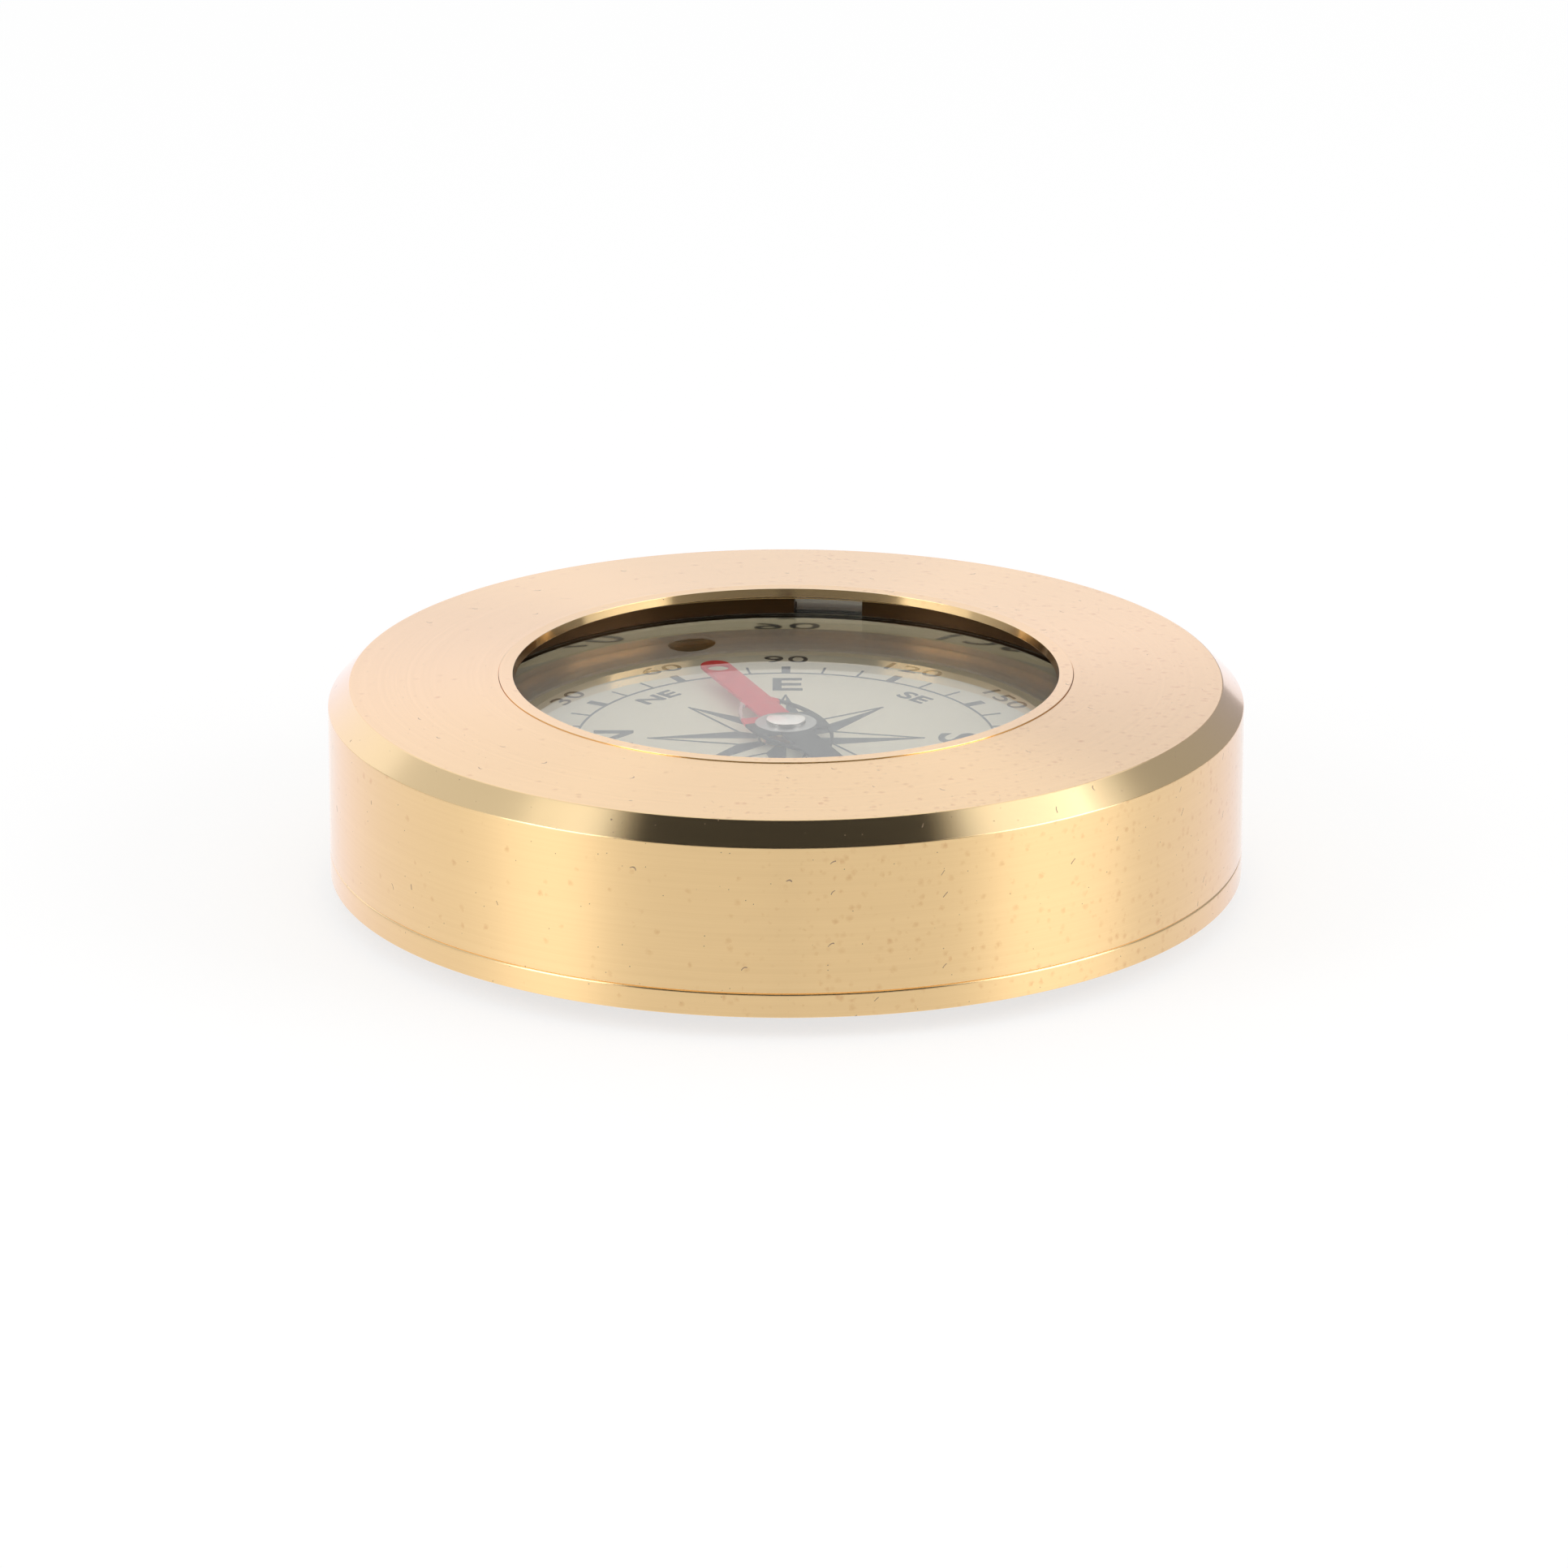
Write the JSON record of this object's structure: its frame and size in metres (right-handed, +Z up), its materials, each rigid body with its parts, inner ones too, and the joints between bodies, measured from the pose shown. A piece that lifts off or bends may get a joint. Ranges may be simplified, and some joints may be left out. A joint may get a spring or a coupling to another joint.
{
  "type": "pocket compass",
  "caption": "Round turned brass pocket compass: thick case with a chamfered top, recessed glass window, printed dial, free-turning needle and anti-slip pad.",
  "frame": {"origin": "middle of the flat face that the compass stands on, the underside of its rubber pad", "axes": "+Z up along the case's axis and the needle's pivot; the dial's E lies towards +Y and its N towards -X"},
  "size_m": [0.057, 0.057, 0.014],
  "materials": {
    "case_brass": "fine-turned brass, lightly polished",
    "bezel_brass": "fine-turned brass",
    "base_brass": "fine-turned brass",
    "adhesive_film": "clear double-sided film",
    "pad_rubber": "matt black sheet rubber",
    "cushion_foam": "closed-cell foam",
    "cup_nickel": "nickel-plated brass",
    "seat_plastic": "black moulded plastic",
    "card_enamel": "cream enamel on sheet metal",
    "dial_ink": "dark screen-printed ink",
    "ring_aluminium": "satin",
    "liner_nickel": "polished",
    "seal_rubber": "pale matt silicone",
    "window_glass": "clear polished flat glass",
    "spring_steel": "dark brown oxide on flat spring steel",
    "screw_steel": "zinc-plated",
    "foot_brass": "turned brass",
    "pin_steel": "hardened and polished",
    "needle_paint": "red paint on the north half, black on the south half",
    "cap_nickel": "bright nickel",
    "collar_brass": "turned brass",
    "jewel_ruby": "polished synthetic jewel"
  },
  "bodies": {
    "compass_case": {"case_body": "case_brass", "window_bezel": "bezel_brass", "base_plate": "base_brass", "pad_tape": "adhesive_film", "base_pad": "pad_rubber", "capsule_cushion": "cushion_foam", "capsule_cup": "cup_nickel", "dial_seat": "seat_plastic", "dial_card": "card_enamel", "scale_print": "dial_ink", "rose_print": "dial_ink", "dial_ring": "ring_aluminium", "wall_liner": "liner_nickel", "glass_seal": "seal_rubber", "window_glass": "window_glass", "snap_ring": "spring_steel", "foot_screw": "screw_steel", "pivot_foot": "foot_brass", "pivot_pin": "pin_steel"},
    "needle": {"needle_blade": "needle_paint", "needle_cap": "cap_nickel", "needle_collar": "collar_brass", "cap_jewel": "jewel_ruby"}
  },
  "joints": [
    {"name": "needle_spin", "type": "hinge", "parent": "compass_case", "child": "needle", "pos_m": [0, 0, 0.00996], "axis": [0, 0, 1], "continuous": true}
  ]
}
